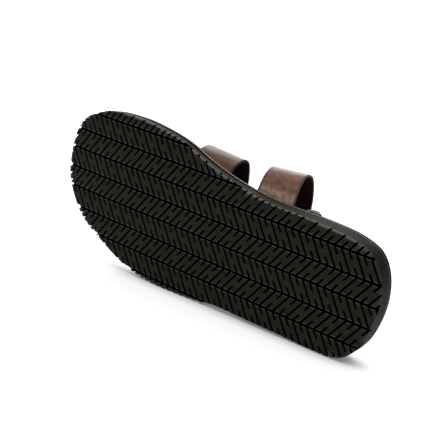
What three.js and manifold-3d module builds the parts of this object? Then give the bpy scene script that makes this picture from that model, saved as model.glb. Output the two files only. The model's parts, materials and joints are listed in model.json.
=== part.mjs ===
// A right sandal with two broad leather straps, lying on its outer side.
// The sole frame: x from the heel tip to the toe, y to the inner side of the foot, z up from the ground.
// Lengths are in millimetres.

import * as THREE from 'three';
import { ConvexHull } from 'three/addons/math/ConvexHull.js';
import { mergeVertices } from 'three/addons/utils/BufferGeometryUtils.js';
import Module from 'manifold-3d';

const wasm = await Module();
wasm.setup();

// Sole sizes
const soleLength = 286;
const ballWidth = 120;
const outsoleHeight = 7.8;
const midsoleHeight = 1.9;
const footbedHeight = 2;
const layerGap = 0.3;
const heelLift = 8.5;
const liftStart = 0.58 * soleLength;
const liftEnd = 0.17 * soleLength;
const toeSpring = 2;
const toeSpringStart = 0.78 * soleLength;
const heelTaper = 3;
const heelTaperLength = 40;
const toeTaper = 1.5;
const toeTaperLength = 70;
const treadEdgeRound = 1;
const layerStep = 0.4;
const rimEdgeRound = 0.6;

// Footbed sizes
const rimWidth = 10;
const troughWidth = 7;
const troughDepth = 0.8;
const padRise = 4;
const deepestShare = 0.4;
const padEdgeShare = 0.4;
const padFullness = 2.5;

// Tread sizes
const rowPitch = 15.56;
const rowGrooveWidth = 1.6;
const lugPitch = 11.39;
const lugGrooveWidth = 1.3;
const grooveDepth = 2.5;
const lugSlant = 0.936 * lugPitch;
const firstRowLine = 64.9;
const rowLines = 8;
const lugPhase = 1.24;

// Strap sizes
const strapThickness = 2.4;
const strapWidth = 30;
const strapFootInset = 7;
const strapLean = 0.2;
const instepHeight = 45;
const innerSwing = 24;
const outerSwing = 9.6;
const slotClearance = 0.3;

// Densities in grams for a cubic centimetre, for the centre of mass
const rubberDensity = 0.95;
const leatherDensity = 0.9;
const padDensity = 0.6;

// How finely the forms are divided
const outlineStations = 42;
const padColumns = 5;
const strapStations = 36;
const strapColumns = 3;

// The outline from the heel tip, up the inner side to the toe tip, and back down the outer side.
// along is a share of the sole's length, across of the ball width, from the middle of the heel.
const outlinePoints = [
  { along: 0.000, across: 0.042 },
  { along: 0.0136, across: 0.191 },
  { along: 0.044, across: 0.296 },
  { along: 0.102, across: 0.344 },
  { along: 0.216, across: 0.366 },
  { along: 0.352, across: 0.377 },
  { along: 0.460, across: 0.423 },
  { along: 0.545, across: 0.484 },
  { along: 0.627, across: 0.554 },
  { along: 0.722, across: 0.594 },
  { along: 0.801, across: 0.606 },
  { along: 0.879, across: 0.594 },
  { along: 0.926, across: 0.552 },
  { along: 0.965, across: 0.495 },
  { along: 0.993, across: 0.383 },
  { along: 1.000, across: 0.192 },
  { along: 0.9935, across: 0.078 },
  { along: 0.9615, across: -0.058 },
  { along: 0.917, across: -0.168 },
  { along: 0.834, across: -0.276 },
  { along: 0.733, across: -0.368 },
  { along: 0.629, across: -0.400 },
  { along: 0.515, across: -0.387 },
  { along: 0.418, across: -0.364 },
  { along: 0.341, across: -0.367 },
  { along: 0.250, across: -0.363 },
  { along: 0.1325, across: -0.366 },
  { along: 0.059, across: -0.333 },
  { along: 0.0234, across: -0.247 },
  { along: 0.0056, across: -0.119 },
];
const toeTipPoint = 15;

// The two straps. inner and outer are where a strap's middle stands on each side of the footbed,
// as shares of the sole's length. Each edge has its crown as a share of the instep's height,
// and how far its arch swings out past its feet as shares of the two widest swings.
const straps = [
  {
    name: 'strap_front',
    inner: 0.555,
    outer: 0.524,
    toeEdge: { crown: 0.73, innerSwing: 0.14, outerSwing: 0.74 },
    heelEdge: { crown: 0.89, innerSwing: 0.43, outerSwing: 0.88 },
  },
  {
    name: 'strap_rear',
    inner: 0.356,
    outer: 0.331,
    toeEdge: { crown: 0.96, innerSwing: 0.80, outerSwing: 1.00 },
    heelEdge: { crown: 1.00, innerSwing: 1.00, outerSwing: 0.89 },
  },
];

// The arch of a strap edge from its inner foot to its outer foot.
// cross runs from foot to foot, innerOut and outerOut are shares of the edge's swings, rise of its crown.
const archPoints = [
  { cross: 0.00, innerOut: 0.38, outerOut: 0.00, rise: 0.13 },
  { cross: 0.00, innerOut: 0.75, outerOut: 0.00, rise: 0.27 },
  { cross: 0.00, innerOut: 0.96, outerOut: 0.00, rise: 0.46 },
  { cross: 0.00, innerOut: 1.00, outerOut: 0.00, rise: 0.65 },
  { cross: 0.03, innerOut: 0.95, outerOut: 0.00, rise: 0.84 },
  { cross: 0.12, innerOut: 0.80, outerOut: 0.00, rise: 0.96 },
  { cross: 0.30, innerOut: 0.40, outerOut: 0.00, rise: 1.00 },
  { cross: 0.52, innerOut: 0.10, outerOut: 0.00, rise: 0.93 },
  { cross: 0.72, innerOut: 0.00, outerOut: 0.00, rise: 0.79 },
  { cross: 0.88, innerOut: 0.00, outerOut: 0.20, rise: 0.62 },
  { cross: 1.00, innerOut: 0.00, outerOut: 0.72, rise: 0.44 },
  { cross: 1.00, innerOut: 0.00, outerOut: 1.00, rise: 0.28 },
  { cross: 1.00, innerOut: 0.00, outerOut: 0.62, rise: 0.12 },
];

// Heights that follow from the sizes
const midsoleBottom = outsoleHeight + layerGap;
const midsoleTop = midsoleBottom + midsoleHeight;
const footbedBottom = midsoleTop + layerGap;
const rimTop = footbedBottom + footbedHeight;

const outlineCurve = new THREE.CatmullRomCurve3(
  outlinePoints.map((p) => new THREE.Vector3(p.along * soleLength, p.across * ballWidth, 0)),
  true,
  'centripetal',
);

// How far the sole curls up at a distance from the heel
function springAt(x) {
  const past = Math.max(0, x - toeSpringStart) / (soleLength - toeSpringStart);
  return toeSpring * past * past;
}

// How much the outsole thickens towards the heel
function liftAt(x) {
  return heelLift * THREE.MathUtils.smoothstep(liftStart - x, 0, liftStart - liftEnd);
}

// How much higher than at the ball everything on the outsole lies
function riseAt(x) {
  return springAt(x) + liftAt(x);
}

// Both ends of the sole lean in as they rise
function taperAt(x, z) {
  const nearHeel = Math.max(0, 1 - x / heelTaperLength);
  const nearToe = Math.max(0, 1 - (soleLength - x) / toeTaperLength);
  return (heelTaper * nearHeel * nearHeel + toeTaper * nearToe) * z / rimTop;
}

// A point of the outline with its inward direction, t from 0 at the heel tip round to 1
function outlineAt(t) {
  const point = outlineCurve.getPoint(t);
  const tangent = outlineCurve.getTangent(t);
  return { x: point.x, y: point.y, inX: tangent.y, inY: -tangent.x };
}

// The outline as one loop: the inner side from heel to toe, then the outer side back
function outlineLoop() {
  const toeShare = toeTipPoint / outlinePoints.length;
  const loop = [];
  for (let i = 0; i < outlineStations; i += 1) {
    loop.push(outlineAt(toeShare * i / outlineStations));
  }
  for (let i = 0; i < outlineStations; i += 1) {
    loop.push(outlineAt(toeShare + (1 - toeShare) * i / outlineStations));
  }
  return loop;
}

// The outline's point on one side at a distance from the heel, moved inwards
function edgePoint(distance, inset, inner) {
  const toeShare = toeTipPoint / outlinePoints.length;
  let low = inner ? 0 : 1;
  let high = toeShare;
  for (let step = 0; step < 40; step += 1) {
    const middle = (low + high) / 2;
    if (outlineAt(middle).x < distance) {
      low = middle;
    } else {
      high = middle;
    }
  }
  const found = outlineAt(low);
  return { x: found.x + found.inX * inset, y: found.y + found.inY * inset };
}

// A closed body of the sole's outline from rings that rise from the ground side to the foot side.
// Each ring has an inset and a height, and onGround keeps it on the tread.
// crown gives the height of the foot side over its edge, v from 0 at the inner edge to 1 at the outer.
function layerGeometry(rings, crown) {
  const outline = outlineLoop();
  const count = outline.length;
  const positions = [];
  const faces = [];
  const pushPoint = (x, y, z, onGround) => {
    positions.push(x, y, z + (onGround ? springAt(x) : riseAt(x)));
    return positions.length / 3 - 1;
  };
  const ringPoints = rings.map(({ inset, height, onGround }) => outline.map((p) => {
    const inwards = inset + taperAt(p.x, height);
    return pushPoint(p.x + p.inX * inwards, p.y + p.inY * inwards, height, onGround);
  }));
  for (let r = 1; r < rings.length; r += 1) {
    for (let i = 0; i < count; i += 1) {
      const j = (i + 1) % count;
      const below = ringPoints[r - 1];
      const above = ringPoints[r];
      faces.push([below[j], below[i], above[j]], [below[i], above[i], above[j]]);
    }
  }
  const closeFace = (loop, columns, heightAcross, upwards) => {
    let previous = Array(columns + 1).fill(loop[0]);
    for (let i = 1; i <= outlineStations; i += 1) {
      const innerPoint = loop[i];
      const outerPoint = loop[(count - i) % count];
      const atToe = i === outlineStations;
      const row = [];
      for (let c = 0; c <= columns; c += 1) {
        const v = c / columns;
        if (atToe || c === 0) {
          row.push(innerPoint);
        } else if (c === columns) {
          row.push(outerPoint);
        } else {
          const [ax, ay] = positions.slice(3 * innerPoint, 3 * innerPoint + 2);
          const [bx, by] = positions.slice(3 * outerPoint, 3 * outerPoint + 2);
          const x = ax + (bx - ax) * v;
          row.push(pushPoint(x, ay + (by - ay) * v, heightAcross(v), false));
        }
      }
      for (let c = 0; c < columns; c += 1) {
        const quad = [[previous[c], previous[c + 1], row[c]], [previous[c + 1], row[c + 1], row[c]]];
        quad.filter(([a, b, d]) => a !== b && b !== d && a !== d)
          .forEach(([a, b, d]) => faces.push(upwards ? [a, b, d] : [a, d, b]));
      }
      previous = row;
    }
  };
  const lowest = rings[0];
  const highest = rings[rings.length - 1];
  closeFace(ringPoints[0], lowest.onGround ? 1 : padColumns, () => lowest.height, false);
  closeFace(ringPoints[rings.length - 1], padColumns, (v) => highest.height + crown(v), true);
  const geometry = new THREE.BufferGeometry();
  geometry.setAttribute('position', new THREE.Float32BufferAttribute(positions, 3));
  geometry.setIndex(faces.flat());
  return geometry;
}

function toManifold(geometry) {
  const plain = geometry.clone();
  plain.deleteAttribute('normal');
  plain.deleteAttribute('uv');
  const merged = mergeVertices(plain, 1e-5);
  return new wasm.Manifold(new wasm.Mesh({
    numProp: 3,
    vertProperties: new Float32Array(merged.attributes.position.array),
    triVerts: new Uint32Array(merged.index.array),
  }));
}

function fromManifold(solid) {
  const mesh = solid.getMesh();
  const geometry = new THREE.BufferGeometry();
  geometry.setAttribute('position', new THREE.BufferAttribute(new Float32Array(mesh.vertProperties), 3));
  geometry.setIndex(new THREE.BufferAttribute(new Uint32Array(mesh.triVerts), 1));
  return geometry;
}

// A groove cutter along a straight line on the ground, following the toe spring
function grooveCutter(from, to, width) {
  const steps = Math.max(1, Math.round(Math.abs(to.x - from.x) / (2 * lugPitch)));
  const length = Math.hypot(to.x - from.x, to.y - from.y);
  const sideX = -(to.y - from.y) / length * width / 2;
  const sideY = (to.x - from.x) / length * width / 2;
  const box = new THREE.BoxGeometry(1, 1, 1, steps, 1, 1);
  const position = box.attributes.position;
  for (let i = 0; i < position.count; i += 1) {
    const share = position.getX(i) + 0.5;
    const side = 2 * position.getY(i);
    const x = from.x + (to.x - from.x) * share + sideX * side;
    const y = from.y + (to.y - from.y) * share + sideY * side;
    const z = position.getZ(i) > 0 ? grooveDepth : -grooveDepth;
    position.setXYZ(i, x, y, z + springAt(x));
  }
  return toManifold(box);
}

// Rows along the sole, and between them slanted grooves that part the lugs and lean the other way in turn
function treadCutter() {
  const cutters = [];
  const past = rowPitch / 2;
  for (let row = 0; row < rowLines; row += 1) {
    const y = firstRowLine - row * rowPitch;
    cutters.push(grooveCutter({ x: -past, y }, { x: soleLength + past, y }, rowGrooveWidth));
  }
  for (let row = 0; row <= rowLines; row += 1) {
    const topLine = firstRowLine - (row - 1) * rowPitch;
    const leans = row % 2 === 0 ? 1 : -1;
    const shift = row % 2 === 0 ? 0 : lugPitch / 2;
    const grooves = Math.ceil(soleLength / lugPitch) + 1;
    for (let n = -1; n <= grooves; n += 1) {
      const middle = lugPhase + n * lugPitch + shift;
      cutters.push(grooveCutter(
        { x: middle - leans * lugSlant / 2, y: topLine },
        { x: middle + leans * lugSlant / 2, y: topLine - rowPitch },
        lugGrooveWidth,
      ));
    }
  }
  return wasm.Manifold.union(cutters);
}

function outsoleGeometry() {
  const arcMiddle = (1 - Math.SQRT1_2) * treadEdgeRound;
  const rings = [
    { inset: treadEdgeRound, height: 0, onGround: true },
    { inset: arcMiddle, height: arcMiddle, onGround: true },
    { inset: 0, height: treadEdgeRound, onGround: true },
    { inset: 0, height: outsoleHeight, onGround: false },
  ];
  const body = toManifold(layerGeometry(rings, () => 0));
  return fromManifold(body.subtract(treadCutter()));
}

function midsoleGeometry() {
  const rings = [
    { inset: layerStep, height: midsoleBottom },
    { inset: layerStep, height: midsoleTop },
  ];
  return layerGeometry(rings, () => 0);
}

// Where the two corners of a strap's foot stand on one side
function strapFeet(strap, inner) {
  const middle = (inner ? strap.inner : strap.outer) * soleLength;
  return {
    toeFoot: edgePoint(middle + strapWidth / 2, strapFootInset, inner),
    heelFoot: edgePoint(middle - strapWidth / 2, strapFootInset, inner),
  };
}

// A slot that a strap's foot stands in, wider and longer than the foot by the clearance
function slotCutter(strap, inner) {
  const { toeFoot, heelFoot } = strapFeet(strap, inner);
  const length = Math.hypot(toeFoot.x - heelFoot.x, toeFoot.y - heelFoot.y);
  const box = new THREE.BoxGeometry(
    length + 2 * slotClearance,
    strapThickness + 2 * slotClearance,
    2 * heelLift + 2 * footbedHeight,
  );
  box.rotateZ(Math.atan2(toeFoot.y - heelFoot.y, toeFoot.x - heelFoot.x));
  const middleX = (toeFoot.x + heelFoot.x) / 2;
  box.translate(middleX, (toeFoot.y + heelFoot.y) / 2, rimTop + riseAt(middleX));
  return toManifold(box);
}

// A flat rim, a shallow trough inside it and a crowned pad in the middle
function footbedGeometry() {
  const rings = [
    { inset: layerStep, height: footbedBottom },
    { inset: layerStep, height: rimTop - rimEdgeRound },
    { inset: layerStep + rimEdgeRound, height: rimTop },
    { inset: rimWidth, height: rimTop },
    { inset: rimWidth + deepestShare * troughWidth, height: rimTop - troughDepth },
    { inset: rimWidth + troughWidth, height: rimTop + padEdgeShare * padRise },
  ];
  const crown = (v) => (1 - padEdgeShare) * padRise * (1 - Math.abs(2 * v - 1) ** padFullness);
  let body = toManifold(layerGeometry(rings, crown));
  straps.forEach((strap) => {
    body = body.subtract(slotCutter(strap, true));
    body = body.subtract(slotCutter(strap, false));
  });
  return fromManifold(body);
}

// The arch of one strap edge as a smooth curve that stands upright in both slots
function strapEdgeCurve(edge, innerFoot, outerFoot) {
  const innerRise = riseAt(innerFoot.x);
  const outerRise = riseAt(outerFoot.x);
  const slotTop = rimTop + 2 * slotClearance;
  const points = [
    new THREE.Vector3(innerFoot.x, innerFoot.y, footbedBottom + innerRise),
    new THREE.Vector3(innerFoot.x, innerFoot.y, slotTop + innerRise),
  ];
  archPoints.forEach((p) => {
    const height = p.rise * edge.crown * instepHeight;
    const x = innerFoot.x + (outerFoot.x - innerFoot.x) * p.cross + strapLean * height;
    const y = innerFoot.y + (outerFoot.y - innerFoot.y) * p.cross
      + p.innerOut * edge.innerSwing * innerSwing - p.outerOut * edge.outerSwing * outerSwing;
    points.push(new THREE.Vector3(x, y, rimTop + innerRise + (outerRise - innerRise) * p.cross + height));
  });
  points.push(new THREE.Vector3(outerFoot.x, outerFoot.y, slotTop + outerRise));
  points.push(new THREE.Vector3(outerFoot.x, outerFoot.y, footbedBottom + outerRise));
  return new THREE.CatmullRomCurve3(points, false, 'centripetal');
}

// A band of even thickness ruled between the curves of its two edges
function strapGeometry(strap) {
  const inner = strapFeet(strap, true);
  const outer = strapFeet(strap, false);
  const toeCurve = strapEdgeCurve(strap.toeEdge, inner.toeFoot, outer.toeFoot);
  const heelCurve = strapEdgeCurve(strap.heelEdge, inner.heelFoot, outer.heelFoot);
  const middleAt = (u, v) => toeCurve.getPoint(u).lerp(heelCurve.getPoint(u), v);
  const stations = [];
  const firstBend = 1 / (archPoints.length + 3);
  for (let i = 0; i <= strapStations; i += 1) {
    stations.push(i / strapStations);
  }
  stations.push(firstBend, 1 - firstBend);
  stations.sort((a, b) => a - b);
  const positions = [];
  const faces = [];
  const small = 1e-4;
  stations.forEach((u) => {
    for (let c = 0; c <= strapColumns; c += 1) {
      const v = c / strapColumns;
      const point = middleAt(u, v);
      const upright = u <= firstBend || u >= 1 - firstBend;
      const alongArch = upright
        ? new THREE.Vector3(0, 0, u < 0.5 ? 1 : -1)
        : middleAt(Math.min(1, u + small), v).sub(middleAt(Math.max(0, u - small), v));
      const acrossBand = middleAt(u, 0).sub(middleAt(u, 1));
      const outwards = new THREE.Vector3().crossVectors(alongArch, acrossBand).normalize();
      const outside = point.clone().addScaledVector(outwards, strapThickness / 2);
      const inside = point.clone().addScaledVector(outwards, -strapThickness / 2);
      positions.push(...outside.toArray(), ...inside.toArray());
    }
  });
  const perStation = 2 * (strapColumns + 1);
  const ringOrder = [];
  for (let c = 0; c <= strapColumns; c += 1) {
    ringOrder.push(2 * c);
  }
  for (let c = strapColumns; c >= 0; c -= 1) {
    ringOrder.push(2 * c + 1);
  }
  for (let i = 0; i < stations.length - 1; i += 1) {
    for (let k = 0; k < ringOrder.length; k += 1) {
      const next = (k + 1) % ringOrder.length;
      const a = i * perStation + ringOrder[k];
      const b = i * perStation + ringOrder[next];
      const c = a + perStation;
      const d = b + perStation;
      faces.push([a, b, d], [a, d, c]);
    }
  }
  const last = (stations.length - 1) * perStation;
  for (let c = 0; c < strapColumns; c += 1) {
    faces.push([2 * c, 2 * c + 1, 2 * c + 3], [2 * c, 2 * c + 3, 2 * c + 2]);
    faces.push([last + 2 * c, last + 2 * c + 3, last + 2 * c + 1]);
    faces.push([last + 2 * c, last + 2 * c + 2, last + 2 * c + 3]);
  }
  const geometry = new THREE.BufferGeometry();
  geometry.setAttribute('position', new THREE.Float32BufferAttribute(positions, 3));
  geometry.setIndex(faces.flat());
  return geometry;
}

// Materials
const rubber = new THREE.MeshStandardMaterial({ color: 0x23251f, roughness: 0.75, metalness: 0 });
const darkLeather = new THREE.MeshStandardMaterial({ color: 0x2a211c, roughness: 0.6, metalness: 0 });
const brownLeather = new THREE.MeshStandardMaterial({ color: 0x5a3a28, roughness: 0.45, metalness: 0 });
const footbedLeather = new THREE.MeshStandardMaterial({ color: 0x54372a, roughness: 0.5, metalness: 0 });

function namedMesh(name, geometry, material, density) {
  const mesh = new THREE.Mesh(geometry, material);
  mesh.name = name;
  mesh.userData.density = density;
  return mesh;
}

const pieces = [
  namedMesh('outsole', outsoleGeometry(), rubber, rubberDensity),
  namedMesh('midsole', midsoleGeometry(), darkLeather, leatherDensity),
  namedMesh('footbed', footbedGeometry(), footbedLeather, padDensity),
  ...straps.map((strap) => namedMesh(strap.name, strapGeometry(strap), brownLeather, leatherDensity)),
];

// The centre of mass of all pieces in the sole frame
function massCentre(meshes) {
  const sum = new THREE.Vector3();
  let mass = 0;
  meshes.forEach((mesh) => {
    const position = mesh.geometry.attributes.position;
    const index = mesh.geometry.index;
    const corners = [new THREE.Vector3(), new THREE.Vector3(), new THREE.Vector3()];
    for (let i = 0; i < index.count; i += 3) {
      corners.forEach((corner, k) => corner.fromBufferAttribute(position, index.getX(i + k)));
      const weight = corners[0].dot(corners[1].clone().cross(corners[2])) / 6 * mesh.userData.density;
      corners.forEach((corner) => sum.addScaledVector(corner, weight / 4));
      mass += weight;
    }
  });
  return sum.divideScalar(mass);
}

// The flat that the sandal rests on when it lies on its outer side: the hull face under the centre of mass
function restingNormal(meshes) {
  const points = meshes.flatMap((mesh) => {
    const position = mesh.geometry.attributes.position;
    return Array.from({ length: position.count }, (_, i) => new THREE.Vector3().fromBufferAttribute(position, i));
  });
  const centre = massCentre(meshes);
  const outerSide = new THREE.Vector3(0, -1, 0);
  const hull = new ConvexHull().setFromPoints(points);
  let best = null;
  hull.faces.forEach((face) => {
    const corners = [face.edge.head(), face.edge.next.head(), face.edge.prev.head()].map((v) => v.point);
    const foot = centre.clone().addScaledVector(face.normal, -face.distanceToPoint(centre));
    const triangle = new THREE.Triangle(...corners);
    const facing = face.normal.dot(outerSide);
    if (triangle.containsPoint(foot) && (best === null || facing > best.facing)) {
      best = { facing, normal: face.normal.clone() };
    }
  });
  return best.normal;
}

// Turned to lie on its outer side with the toe towards -X and the tread towards -Y
const shoe = new THREE.Group();
pieces.forEach((piece) => shoe.add(piece));
const down = new THREE.Vector3(0, 0, -1);
const layDown = new THREE.Quaternion().setFromUnitVectors(restingNormal(pieces), down);
const toeDirection = new THREE.Vector3(1, 0, 0).applyQuaternion(layDown);
const turnAngle = Math.PI - Math.atan2(toeDirection.y, toeDirection.x);
const turn = new THREE.Quaternion().setFromAxisAngle(new THREE.Vector3(0, 0, 1), turnAngle);
shoe.quaternion.copy(turn.multiply(layDown));
shoe.updateMatrixWorld(true);
const bounds = new THREE.Box3().setFromObject(shoe, true);
const middle = bounds.getCenter(new THREE.Vector3());
shoe.position.set(-middle.x, -middle.y, -bounds.min.z);

const sandal = new THREE.Group();
sandal.add(shoe);
sandal.updateMatrixWorld(true);

export default sandal;
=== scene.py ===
import json

import bpy
import numpy as np
from mathutils import Matrix


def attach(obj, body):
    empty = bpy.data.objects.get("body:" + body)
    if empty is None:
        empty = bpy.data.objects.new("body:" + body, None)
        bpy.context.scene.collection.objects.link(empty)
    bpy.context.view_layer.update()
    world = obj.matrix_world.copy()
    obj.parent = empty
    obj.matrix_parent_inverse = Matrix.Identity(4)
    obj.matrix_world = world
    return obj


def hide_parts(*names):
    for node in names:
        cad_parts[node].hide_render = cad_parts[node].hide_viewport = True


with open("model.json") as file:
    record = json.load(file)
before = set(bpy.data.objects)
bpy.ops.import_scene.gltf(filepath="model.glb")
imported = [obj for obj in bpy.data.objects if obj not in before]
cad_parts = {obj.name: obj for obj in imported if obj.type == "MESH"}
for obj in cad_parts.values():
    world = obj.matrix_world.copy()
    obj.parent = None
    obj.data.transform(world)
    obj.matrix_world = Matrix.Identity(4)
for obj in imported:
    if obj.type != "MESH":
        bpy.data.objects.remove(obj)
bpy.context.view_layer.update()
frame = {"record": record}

# The sole's own frame, in which every shape is worked out in millimetres: x from the heel tip to the toe,
# y to the inner side of the foot and z up from the tread. Two marked lugs of the tread say where it lies.
MM = 0.001
HEEL_LUG = np.array([41.105, 10.44, 0.0])
lug_marks = {mount["name"]: mount for mount in frame["record"]["mounts"]}
heel_mark = np.array(lug_marks["tread_heel"]["pos_m"])
forefoot_mark = np.array(lug_marks["tread_forefoot"]["pos_m"])
upward = -np.array(lug_marks["tread_heel"]["axis"])
upward /= np.linalg.norm(upward)
inward = np.cross(upward, forefoot_mark - heel_mark)
inward /= np.linalg.norm(inward)
SOLE_AXES = np.array([np.cross(inward, upward), inward, upward])
SOLE_ORIGIN = heel_mark - MM * HEEL_LUG @ SOLE_AXES


def to_row(points):
    """Points of the sole frame in millimetres, turned to the part's frame in metres."""
    return SOLE_ORIGIN + MM * np.asarray(points) @ SOLE_AXES


# The camera keeps the photo's angle to the shoe: below the heel, on the inner side, rolled a little.
CAMERA_POINT = (-205.9, 195.6, -527.9)
IMAGE_RIGHT = np.array([-0.79683, 0.19652, 0.57136])
IMAGE_UP = np.array([0.31512, 0.94200, 0.11548])


def add_object(name, data):
    """An object with its data, put into the scene."""
    thing = bpy.data.objects.new(name, data)
    bpy.context.scene.collection.objects.link(thing)
    return thing


camera_data = bpy.data.cameras.new("camera")
camera_data.lens = 72.32
camera_data.sensor_width = 36.0
camera = add_object("camera", camera_data)
camera_axes = np.array([IMAGE_RIGHT, IMAGE_UP, np.cross(IMAGE_RIGHT, IMAGE_UP)]) @ SOLE_AXES
camera_matrix = np.eye(4)
camera_matrix[:3, :3] = camera_axes.T
camera_matrix[:3, 3] = to_row(CAMERA_POINT)
camera.matrix_world = Matrix(camera_matrix.tolist())
bpy.context.scene.camera = camera

# Outsole: moulded black rubber, thicker under the heel, with a lightly mottled plain side that is painted
# paler than the tread, as painted light from above.
# Its tread has rows along the sole, and each row is cut into lugs by slanted grooves and short slits.
SOLE_LENGTH = 286.0
BALL_WIDTH = 120.0
OUTSOLE_HEIGHT = 7.8
RIM_HEIGHT = 12.3
HEEL_LIFT = 8.5
LIFT_START = 0.58 * SOLE_LENGTH
LIFT_END = 0.17 * SOLE_LENGTH
TOE_SPRING = 2.0
SPRING_START = 0.78 * SOLE_LENGTH
HEEL_TAPER = 2.1
HEEL_TAPER_LENGTH = 40.0
TOE_TAPER = 1.5
TOE_TAPER_LENGTH = 70.0
STATIONS = 240
# Shares of the length from the heel tip and of the ball width from the middle of the heel,
# up the inner side to the toe tip and back down the outer side.
OUTLINE_SHARES = np.array([
    (-0.004, 0.042), (0.0105, 0.191), (0.044, 0.296), (0.102, 0.344), (0.216, 0.366),
    (0.352, 0.377), (0.460, 0.423), (0.545, 0.484), (0.627, 0.554), (0.722, 0.594),
    (0.801, 0.606), (0.879, 0.594), (0.928, 0.552), (0.969, 0.495), (0.998, 0.383),
    (1.0055, 0.192), (0.999, 0.078), (0.967, -0.058), (0.921, -0.170), (0.834, -0.276),
    (0.733, -0.368), (0.629, -0.400), (0.515, -0.387), (0.418, -0.364), (0.341, -0.367),
    (0.250, -0.363), (0.1325, -0.366), (0.059, -0.333), (0.0234, -0.247), (0.003, -0.119),
])
TOE_TIP_INDEX = 15


def smooth_curve(points, shares, closed):
    """A curve through the points, at shares of its way from 0 to 1. Each span is a cubic whose end
    slopes come from its neighbours, weighed by the square roots of the distances between them."""
    points = np.asarray(points, float)
    if closed:
        spans = len(points)
        padded = np.concatenate([points[-1:], points, points[:2]])
    else:
        spans = len(points) - 1
        padded = np.concatenate([2 * points[:1] - points[1:2], points, 2 * points[-1:] - points[-2:-1]])
    place = np.asarray(shares, float) % 1.0 * spans if closed else np.asarray(shares, float) * spans
    span = np.clip(place.astype(int), 0, spans - 1)
    w = (place - span)[:, None]
    p0, p1, p2, p3 = (padded[span + k] for k in range(4))
    neighbours = ((p0, p1), (p1, p2), (p2, p3))
    d0, d1, d2 = (np.sqrt(np.linalg.norm(b - a, axis=1))[:, None] for a, b in neighbours)
    slope1 = ((p1 - p0) / d0 - (p2 - p0) / (d0 + d1)) * d1 + (p2 - p1)
    slope2 = ((p3 - p2) / d2 - (p3 - p1) / (d1 + d2)) * d1 + (p2 - p1)
    c2 = 3 * (p2 - p1) - 2 * slope1 - slope2
    c3 = 2 * (p1 - p2) + slope1 + slope2
    return p1 + w * (slope1 + w * (c2 + w * c3))


def outline_loop(stations):
    """The outline as points and inward directions: the inner side from heel to toe, then the outer back."""
    toe = TOE_TIP_INDEX / len(OUTLINE_SHARES)
    way = np.arange(stations) / stations
    shares = np.concatenate([toe * way, toe + (1 - toe) * way])
    corners = OUTLINE_SHARES * (SOLE_LENGTH, BALL_WIDTH)
    step = 1e-4
    ahead = smooth_curve(corners, shares + step, True) - smooth_curve(corners, shares - step, True)
    ahead /= np.linalg.norm(ahead, axis=1)[:, None]
    return smooth_curve(corners, shares, True), np.stack([ahead[:, 1], -ahead[:, 0]], axis=1)


OUTLINE, OUTLINE_INWARD = outline_loop(STATIONS)


def toe_spring(x):
    """How far the sole curls up: the square of the way past the start of the curl."""
    return TOE_SPRING * np.clip((x - SPRING_START) / (SOLE_LENGTH - SPRING_START), 0, None) ** 2


def heel_lift(x):
    """How much the outsole thickens towards the heel: a smooth step."""
    t = np.clip((LIFT_START - x) / (LIFT_START - LIFT_END), 0, 1)
    return HEEL_LIFT * t * t * (3 - 2 * t)


def end_taper(x, height):
    """How far the wall has leant in at a height, near the heel end and near the toe."""
    near_heel = np.clip(1 - x / HEEL_TAPER_LENGTH, 0, None)
    near_toe = np.clip(1 - (SOLE_LENGTH - x) / TOE_TAPER_LENGTH, 0, None)
    return (HEEL_TAPER * near_heel ** 2 + TOE_TAPER * near_toe) * height / RIM_HEIGHT


def sole_ring(inset, height, lifted=1.0):
    """The outline moved inwards and up, with its taper. Lifted is the share of the heel's lift that the
    ring takes part in."""
    taper = end_taper(OUTLINE[:, 0], height)
    flat = OUTLINE + (inset + taper)[:, None] * OUTLINE_INWARD
    z = height + toe_spring(flat[:, 0]) + lifted * heel_lift(flat[:, 0])
    return np.column_stack([flat, z])


def grid_triangles(rows, columns, closed=False, first=0):
    """Two triangles for each cell of a grid whose points are numbered row by row."""
    r = np.arange(rows - 1)[:, None]
    c = np.arange(columns if closed else columns - 1)[None, :]
    a = first + r * columns + c
    b = first + r * columns + (c + 1) % columns
    d, e = a + columns, b + columns
    return np.concatenate([np.stack([b, a, e], -1).reshape(-1, 3), np.stack([a, d, e], -1).reshape(-1, 3)])


def face_across(loop, columns, height_across):
    """A grid from a loop's inner side to its outer side, heel to toe, raised by height_across(x, v)."""
    stations = len(loop) // 2
    i = np.arange(stations + 1)
    inner = loop[i][:, None, :]
    outer = loop[-i % len(loop)][:, None, :]
    v = (np.arange(columns + 1) / columns)[None, :, None]
    grid = np.where(v == 1, outer, inner + (outer - inner) * v)
    grid[:, 1:-1, 2] += height_across(grid[:, 1:-1, 0], v[:, 1:-1, 0])
    return grid.reshape(-1, 3), grid_triangles(stations + 1, columns + 1)


def flat_across(x, v):
    """No rise anywhere across a loop."""
    return 0 * x


def weld(points, triangles):
    """Points that lie on one another become one, and triangles that this makes flat are dropped."""
    _, first, number = np.unique(np.round(points, 4), axis=0, return_index=True, return_inverse=True)
    triangles = number.reshape(-1)[triangles]
    a, b, c = triangles.T
    return points[first], triangles[(a != b) & (b != c) & (a != c)]


def layer(rings, top_columns, top_height):
    """A closed body of rings that rise from the ground side to the foot side, as points and triangles."""
    loops = np.concatenate(rings)
    wall = grid_triangles(len(rings), 2 * STATIONS, closed=True)
    bottom, bottom_cells = face_across(rings[0], 1, flat_across)
    top, top_cells = face_across(rings[-1], top_columns, top_height)
    bottom_cells = bottom_cells + len(loops)
    top_cells = top_cells[:, ::-1] + len(loops) + len(bottom)
    return weld(np.concatenate([loops, bottom, top]), np.concatenate([wall, bottom_cells, top_cells]))


def make_piece(name, points, triangles, materials=()):
    """An object at the origin, with its mesh in the part's frame."""
    mesh = bpy.data.meshes.new(name)
    mesh.from_pydata(to_row(points).tolist(), [], triangles.tolist())
    for material in materials:
        mesh.materials.append(material)
    return add_object(name, mesh)


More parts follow.
